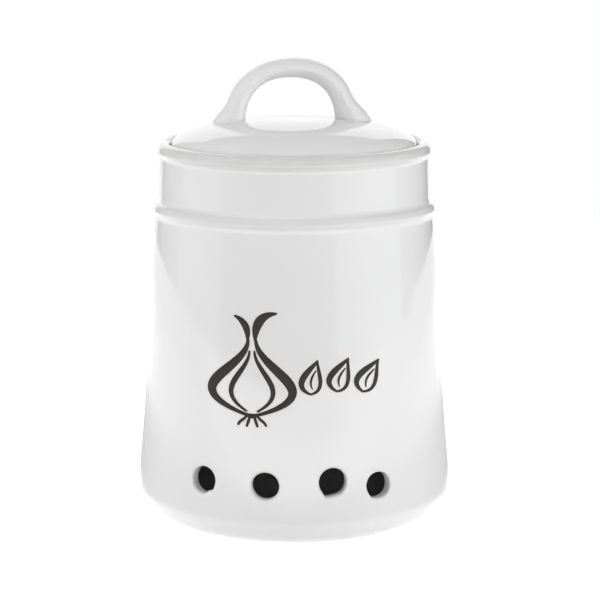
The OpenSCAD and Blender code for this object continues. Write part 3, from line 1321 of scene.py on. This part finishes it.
@dataclass
class Motif:
    """A garlic bulb and three cloves in charcoal, fired onto the front of the jar.

    Attributes:
        jar: The jar that carries it.
        low_z: Height of its lowest point.
        bulb_x: Place of the bulb's middle, to the right of the front.
        clove_z: Height of the cloves above its lowest point.
        clove_step: Distance between cloves.
        thickness: Thickness of the colour.
        border: Width of the pale border round each stroke.
        border_thickness: Thickness of that border.
    """

    jar: Jar
    low_z: float
    bulb_x: float = -15.2
    clove_z: float = 11.5
    clove_step: float = 9.4
    thickness: float = 0.2
    border: float = 0.42
    border_thickness: float = 0.05

    def strokes(self) -> list[Stroke]:
        """Returns every stroke of the drawing."""
        half_bulb = (
            Stroke(((-1.4, 31.0), (-2.0, 20.0), (-30.0, 13.0), (-2.6, 4.2)), 1.2, 3.6),
            Stroke(((-0.9, 27.0), (-1.2, 19.0), (-15.0, 13.0), (-2.1, 5.4)), 0.8, 2.0),
            Stroke(((-2.2, 3.4), (-2.8, 2.2), (-4.2, 2.0), (-5.0, 0.4)), 0.9, 1.1),
            Stroke(((-0.9, 3.2), (-1.1, 2.2), (-1.5, 1.2), (-1.9, 0.0)), 0.9, 1.1),
        )
        top_and_base = (
            Stroke(((-3.4, 4.8), (-1.5, 3.2), (1.5, 3.2), (3.4, 4.8)), 0.8, 1.8),
            Stroke(((-1.6, 31.0), (-1.2, 35.0), (-2.6, 38.0), (-6.0, 39.5)), 1.0, 2.6),
            Stroke(((1.2, 31.0), (1.0, 36.0), (2.5, 40.5), (8.6, 41.0)), 1.0, 3.4),
        )
        clove = (
            Stroke(((1.6, 12.6), (-0.6, 9.0), (-7.4, 3.0), (0.4, 0.4)), 0.8, 2.4),
            Stroke(((1.6, 12.6), (2.0, 8.6), (6.4, 2.2), (0.4, 0.4)), 0.8, 1.5),
            Stroke(((1.4, 9.0), (0.2, 6.6), (-0.6, 4.6), (0.9, 2.4)), 0.5, 0.9),
        )
        bulb_place = (self.bulb_x, 0.0)
        drawn = [stroke.moved(bulb_place) for stroke in half_bulb + top_and_base]
        drawn += [stroke.moved(bulb_place, mirrored=True) for stroke in half_bulb]
        cloves, first_x, hop, lean, lean_step = 3, 20.6, 0.8, -6.0, -8.0
        for number in range(cloves):
            x = self.bulb_x + first_x + self.clove_step * number
            place = (x, self.clove_z + hop * (number % 2))
            drawn += [stroke.moved(place, lean + lean_step * number) for stroke in clove]
        return drawn

    def on_wall(self, flat: Vector, lift: float) -> Point3:
        """Returns the point of the wall that lies behind a point of the drawing, lifted outwards."""
        z = self.low_z + flat.y
        r = self.jar.side_radius(z)
        azimuth = math.asin(flat.x / r)
        return around(r + (self.jar.wobble(azimuth, r, z) + lift), azimuth, z)

    def lay(
        self,
        draft: MeshDraft,
        stroke: Stroke,
        section: Sequence[Point2],
        grow: float,
        height: float,
        finish: Finish,
    ) -> None:
        """Lays one stroke onto the wall.

        Args:
            draft: The motif's mesh.
            stroke: The stroke.
            section: Its section, as shares of its half width and of its height.
            grow: How far it is widened on each side.
            height: Its height over the wall.
            finish: Its finish.
        """
        steps, sunk, root = 36, -0.12, 0.9
        rings = []
        for middle, across, half in stroke.spans(steps):
            wide = half + grow
            places = [self.on_wall(middle + across * wide * side, height * lift) for side, lift in section]
            places += [self.on_wall(middle + across * wide * side, sunk) for side in (root, 0.0, -root)]
            rings.append(draft.ring(places))
        for first, second in zip(rings, rings[1:]):
            draft.bridge(first, second, finish)
        draft.face(rings[0], finish)
        draft.face(rings[-1], finish)

    def build(self, colour: Material, pale_border: Material) -> Piece:
        """Makes the motif's mesh.

        Args:
            colour: The charcoal of its strokes.
            pale_border: The pale, slightly pink glaze of the border round each stroke.

        Returns:
            The motif.
        """
        draft = MeshDraft()
        left_edge = ((-1.0, -0.02), (-0.97, 0.5), (-0.9, 0.88), (-0.8, 0.98))
        crown = (*left_edge, (0.0, 1.0), *((-side, lift) for side, lift in reversed(left_edge)))
        film = ((-1.0, -0.05), (-0.92, 0.7), (0.0, 1.0), (0.92, 0.7), (1.0, -0.05))
        layers, layer_step = 7, 0.02
        for number, stroke in enumerate(self.strokes()):
            layer = 1.0 - layer_step * (number % layers)
            self.lay(draft, stroke, crown, 0.0, self.thickness * layer, Finish.MAIN)
            self.lay(draft, stroke, film, self.border, self.border_thickness * layer, Finish.EDGE)
        return draft.build("motif_colour_coat", (colour, pale_border))


# --- The studio ---


@dataclass(frozen=True)
class Softbox:
    """A large soft lamp aimed at the keeper.

    Attributes:
        name: Its name.
        azimuth: Its direction from the front, in degrees to the right.
        elevation: Its direction above the horizon, in degrees.
        distance: Its distance from the keeper, in metres.
        size: Its width and height, in metres.
        power: Its power in watts.
    """

    name: str
    azimuth: float
    elevation: float
    distance: float
    size: Point2
    power: float

    def place(self, target: Vector) -> None:
        """Puts the lamp in the scene, aimed at a point."""
        lamp = bpy.data.lights.new(self.name, "AREA")
        lamp.shape = "RECTANGLE"
        lamp.size, lamp.size_y = self.size
        lamp.energy = self.power
        turn, tilt = math.radians(self.azimuth), math.radians(self.elevation)
        back = Vector(around(math.cos(tilt), turn, math.sin(tilt)))
        holder = put_in_scene(self.name, lamp)
        holder.location = target + back * self.distance
        holder.rotation_euler = (-back).to_track_quat("-Z", "Y").to_euler()
        holder.visible_glossy = False
        holder.visible_camera = False


@dataclass(frozen=True)
class Screen:
    """A curved upright screen that the glaze mirrors, seen in reflections only.

    Attributes:
        name: Its name.
        azimuths: Its first and last direction from the front, in degrees to the right.
        heights: Its lowest and highest height, in metres.
        brightness: How bright it is, where 1 is white.
        tint: Its colour.
        radius: Its distance from the keeper's axis, in metres.
    """

    name: str
    azimuths: Point2
    heights: Point2
    brightness: float
    tint: Colour = (1.0, 1.0, 1.0)
    radius: float = 1.6

    def place(self) -> None:
        """Puts the screen in the scene."""
        column_width = 4.0
        columns = max(2, round(abs(self.azimuths[1] - self.azimuths[0]) / column_width))
        turns = [math.radians(mix(*self.azimuths, i / columns)) for i in range(columns + 1)]
        places = [around(self.radius, turn, height) for turn in turns for height in self.heights]
        faces = [(low, low + 2, low + 3, low + 1) for low in range(0, 2 * columns, 2)]
        mesh = bpy.data.meshes.new(self.name)
        mesh.from_pydata(places, [], faces)
        mesh.materials.append(glow(self.name, self.brightness, self.tint))
        put_on_stage(mesh)


def glow(name: str, brightness: float, tint: Colour = (1.0, 1.0, 1.0)) -> Material:
    """Makes a plain light-giving material for a screen, and returns it."""
    material = bpy.data.materials.new(name)
    bench = cleared(material)
    emission = bench.add("ShaderNodeEmission")
    bench.feed(emission, {"Color": opaque(tint), "Strength": brightness})
    output = bench.add("ShaderNodeOutputMaterial")
    bench.join(emission.outputs["Emission"], output.inputs["Surface"])
    leave_to_mirrors(material)
    return material


def leave_to_mirrors(material: Material) -> None:
    """Keeps a bright material out of the list of lamps, since only mirrored and direct rays see it."""
    material.cycles.emission_sampling = "NONE"


def put_on_stage(mesh: bpy.types.Mesh) -> Piece:
    """Links a mesh as a part of the studio that only reflections see, and returns it."""
    piece = put_in_scene(mesh.name, mesh)
    piece.visible_camera = False
    piece.visible_diffuse = False
    piece.visible_shadow = False
    piece.visible_transmission = False
    return piece


@dataclass
class Studio:
    """The pale table, the white surround and the soft lamps.

    Attributes:
        table_r: Radius of the pale table top, in metres.
        ambient: Brightness of the white surround as a light.
        table_colour: Colour of the table top.
        table_glow: White that is added to the table where the camera sees it.
        foot_glow: White that is added to the mirrored table under the keeper's base.
        foot_glow_r: Distances from the keeper's axis between which that fades out, in metres.
        near_glow: White that is added to the mirrored table round the keeper.
        near_glow_r: Distances from the keeper's axis between which that fades in, in metres.
        front_share: How many times brighter that is in front of the keeper.
        front_y: Places along Y between which that extra brightness fades out, in metres.
        far_glow: White that is added to it further away.
        far_glow_r: Distances from the keeper's axis between which the one becomes the other, in metres.
        aim_z: Height that the lamps are aimed at, in metres.
        screens: The screens that the glaze mirrors.
        lamps: The soft lamps.
    """

    table_r: float = 0.76
    ambient: float = 0.15
    table_colour: float = 0.76
    table_glow: float = 0.8
    foot_glow: float = 2.2
    foot_glow_r: Point2 = (0.06, 0.11)
    near_glow: float = 0.9
    near_glow_r: Point2 = (0.19, 0.34)
    front_share: float = 2.3
    front_y: Point2 = (-0.3, -0.15)
    far_glow: float = 0.48
    far_glow_r: Point2 = (0.42, 0.62)
    aim_z: float = 0.08
    screens: tuple[Screen, ...] = (
        Screen("screen_front_low", (-60.0, 33.0), (-1.6, 0.1), 0.05),
        Screen("screen_front_high", (-60.0, 33.0), (0.1, 3.2), 0.0),
        Screen("screen_right_panel_low", (33.0, 94.0), (-1.6, 0.1), 0.9, (0.96, 0.99, 1.12)),
        Screen("screen_right_panel_high", (33.0, 94.0), (0.1, 3.2), 0.1),
        Screen("screen_right_gap", (94.0, 158.0), (-1.6, 3.2), 0.06),
        Screen("screen_left_panel_low", (-106.0, -60.0), (-1.6, 0.1), 0.73),
        Screen("screen_left_panel_high", (-106.0, -60.0), (0.1, 3.2), 0.43),
        Screen("screen_left_gap_low", (-150.0, -106.0), (-1.6, 0.1), 0.24),
        Screen("screen_left_gap_high", (-150.0, -106.0), (0.1, 3.2), 0.5),
        Screen("screen_back_low", (158.0, 210.0), (-0.05, 0.55), 1.3),
        Screen("screen_back_middle", (158.0, 210.0), (0.55, 1.3), 1.4),
        Screen("screen_back_high", (158.0, 210.0), (1.3, 3.2), 0.35),
    )
    lamps: tuple[Softbox, ...] = (
        Softbox("softbox_right", 62.0, 24.0, 1.3, (0.9, 1.3), 11.3),
        Softbox("softbox_left", -78.0, 24.0, 1.4, (0.8, 1.3), 12.6),
        Softbox("softbox_front", 0.0, 4.0, 1.7, (1.0, 0.7), 7.9),
        Softbox("softbox_back", 180.0, 42.0, 1.5, (1.2, 0.8), 9.0),
    )

    def build(self) -> None:
        """Makes the whole studio."""
        self.make_world()
        self.make_table()
        self.make_ceiling()
        for screen in self.screens:
            screen.place()
        for lamp in self.lamps:
            lamp.place(Vector((0.0, 0.0, self.aim_z)))

    def make_world(self) -> None:
        """Makes a world that is white to look at and a soft light otherwise."""
        world = bpy.data.worlds.new("white_surround")
        bpy.context.scene.world = world
        bench = cleared(world)
        strength = bench.ramp(self.seen_directly(bench), 0.0, 1.0, (self.ambient, 1.0))
        background = bench.add("ShaderNodeBackground")
        bench.feed(background, {"Color": (1.0, 1.0, 1.0, 1.0), "Strength": strength})
        output = bench.add("ShaderNodeOutputWorld")
        bench.join(background.outputs["Background"], output.inputs["Surface"])

    def seen_directly(self, bench: NodeBench) -> Socket:
        """Returns a socket that is 1 for camera, glossy and transmission rays, else 0."""
        path = bench.add("ShaderNodeLightPath")
        total = bench.math("MAXIMUM", path.outputs[RayKind.CAMERA.value], path.outputs[RayKind.GLOSSY.value])
        return bench.math("MAXIMUM", total, path.outputs[RayKind.TRANSMISSION.value])

    def make_table(self) -> None:
        """Makes the pale round table top, which looks white but keeps the keeper's shadow."""
        rings, columns = (0.1, 0.3, 0.55, 0.8, 1.0), 96
        mesh = bpy.data.meshes.new("table_top")
        draft = bmesh.new()
        rows = []
        for share in rings:
            angles = (2.0 * math.pi * i / columns for i in range(columns))
            rows.append([draft.verts.new(around(share * self.table_r, angle, 0.0)) for angle in angles])
        middle = draft.verts.new((0.0, 0.0, 0.0))
        for i in range(columns):
            j = (i + 1) % columns
            draft.faces.new((middle, rows[0][i], rows[0][j]))
            for inner, outer in zip(rows, rows[1:]):
                draft.faces.new((inner[i], outer[i], outer[j], inner[j]))
        draft.to_mesh(mesh)
        draft.free()
        mesh.materials.append(self.table_finish())
        piece = put_in_scene("table_top", mesh)

    def table_finish(self) -> Material:
        """Makes the table's matt white finish, with the surround's white added for the camera."""
        material = bpy.data.materials.new("table_white")
        bench, shader = principled(material)
        place = bench.add("ShaderNodeTexCoord").outputs["Object"]
        paper_scale, paper_depth = 30.0, 0.985
        paper = bench.ramp(bench.noise(place, paper_scale, 4.0), 0.3, 0.7)
        pale = (self.table_colour,) * 3
        worn = tuple(paper_depth * value for value in pale)
        centred = bench.add("ShaderNodeVectorMath", operation="LENGTH")
        bench.join(place, centred.inputs[0])
        distance = centred.outputs["Value"]
        under = bench.ramp(distance, *self.foot_glow_r, (self.foot_glow, 0.0))
        axes = bench.add("ShaderNodeSeparateXYZ")
        bench.join(place, axes.inputs["Vector"])
        in_front = bench.ramp(axes.outputs["Y"], *self.front_y, (self.front_share, 1.0))
        near = bench.math("MULTIPLY", bench.ramp(distance, *self.near_glow_r), in_front)
        away = bench.ramp(distance, *self.far_glow_r, (self.near_glow, self.far_glow))
        away = bench.math("MULTIPLY", near, away)
        path = bench.add("ShaderNodeLightPath").outputs
        mirrored = bench.math("MULTIPLY", path[RayKind.GLOSSY.value], bench.math("ADD", under, away))
        direct = bench.math("MAXIMUM", path[RayKind.CAMERA.value], path[RayKind.TRANSMISSION.value])
        shown = bench.math("MULTIPLY", direct, self.table_glow)
        bench.feed(shader, {
            "Base Color": bench.blend(paper, pale, worn),
            "Roughness": 0.9,
            "Specular IOR Level": 0.0,
            "Emission Color": (1.0, 1.0, 1.0, 1.0),
            "Emission Strength": bench.math("ADD", shown, mirrored),
        })
        leave_to_mirrors(material)
        return material

    def make_ceiling(self) -> None:
        """Makes the dim ceiling that the lid mirrors."""
        r, z, columns, brightness = 1.62, 3.2, 48, 0.05
        mesh = bpy.data.meshes.new("screen_ceiling")
        places = [around(r, 2.0 * math.pi * i / columns, z) for i in range(columns)]
        mesh.from_pydata(places, [], [tuple(range(columns))])
        mesh.materials.append(glow("screen_ceiling", brightness))
        put_on_stage(mesh)


@dataclass(frozen=True)
class Viewpoint:
    """The camera.

    Attributes:
        distance: Its distance in front of the keeper's axis, in metres.
        height: Its height above the table, in metres.
        pitch: How far it looks down, in radians.
        yaw: How far it looks to the right, in radians.
        lens: Its focal length in millimetres.
        sensor: Width of its sensor in millimetres.
    """

    distance: float = 0.8695
    height: float = 0.24814
    pitch: float = 0.18922
    yaw: float = 0.00255
    lens: float = 139.38
    sensor: float = 36.0

    def place(self) -> None:
        """Puts the camera in the scene and makes it the scene's own."""
        camera = bpy.data.cameras.new("camera")
        camera.lens = self.lens
        camera.sensor_width = self.sensor
        holder = put_in_scene("camera", camera)
        holder.location = (0.0, -self.distance, self.height)
        look = Matrix.Rotation(-self.yaw, 4, "Z") @ Matrix.Rotation(0.5 * math.pi - self.pitch, 4, "X")
        holder.rotation_euler = look.to_euler()
        bpy.context.scene.camera = holder


# --- The whole keeper ---


def white_glaze(name: str, roughness: float) -> Material:
    """Makes the keeper's white glaze, for one of its pieces, and returns it."""
    return Glaze(
        name=name,
        colour=(0.80, 0.80, 0.80),
        # This grey is also the painted shade on the rim, the ring bead and the handle's feet.
        thin_and_shade_colour=(0.66, 0.658, 0.653),
        speck_colour=(0.5, 0.47, 0.43),
        mottle=0.1,
        roughness=roughness,
        ripple=0.00006,
    ).make()


def main() -> None:
    logging.basicConfig(level=logging.INFO, format="%(name)s: %(message)s")
    clay = BareClay("bare_clay", (0.72, 0.69, 0.63), (0.55, 0.52, 0.47), 0.00004).make()
    jar_low, jar_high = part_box("jar")
    lid_low, lid_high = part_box("lid")
    jar = Jar(body_r=0.5 * (jar_high.x - jar_low.x) / MM, rim_top=jar_high.z / MM)
    settle(jar.build(white_glaze("jar_white_glaze", 0.045), clay), Body.JAR, "jar")
    lid = Lid(edge_r=0.5 * (lid_high.x - lid_low.x) / MM, ledge_z=jar.ledge_z)
    settle(lid.build(white_glaze("lid_white_glaze", 0.045), clay), Body.LID, "lid")
    handle = Handle(lid=lid, top_z=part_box("lid_handle")[1].z / MM)
    settle(handle.build(white_glaze("handle_white_glaze", 0.05)), Body.LID, "lid_handle")
    motif = Motif(jar=jar, low_z=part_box("motif")[0].z / MM)
    charcoal = Glaze(
        name="charcoal_colour",
        colour=(0.029, 0.0272, 0.026),
        thin_and_shade_colour=(0.039, 0.037, 0.0355),
        speck_colour=(0.02, 0.02, 0.02),
        mottle=0.6,
        roughness=0.3,
        ripple=0.00008,
        specular=0.25,
    ).make()
    pale_border = Glaze(
        name="motif_pale_border",
        colour=(0.835, 0.805, 0.79),
        thin_and_shade_colour=(0.81, 0.79, 0.78),
        speck_colour=(0.7, 0.65, 0.62),
        mottle=0.8,
        roughness=0.09,
        ripple=0.00003,
    ).make()
    settle(motif.build(charcoal, pale_border), Body.JAR, "motif")
    Studio().build()
    Viewpoint().place()
    bpy.context.scene.view_settings.view_transform = "Standard"


if __name__ == "__main__":
    main()
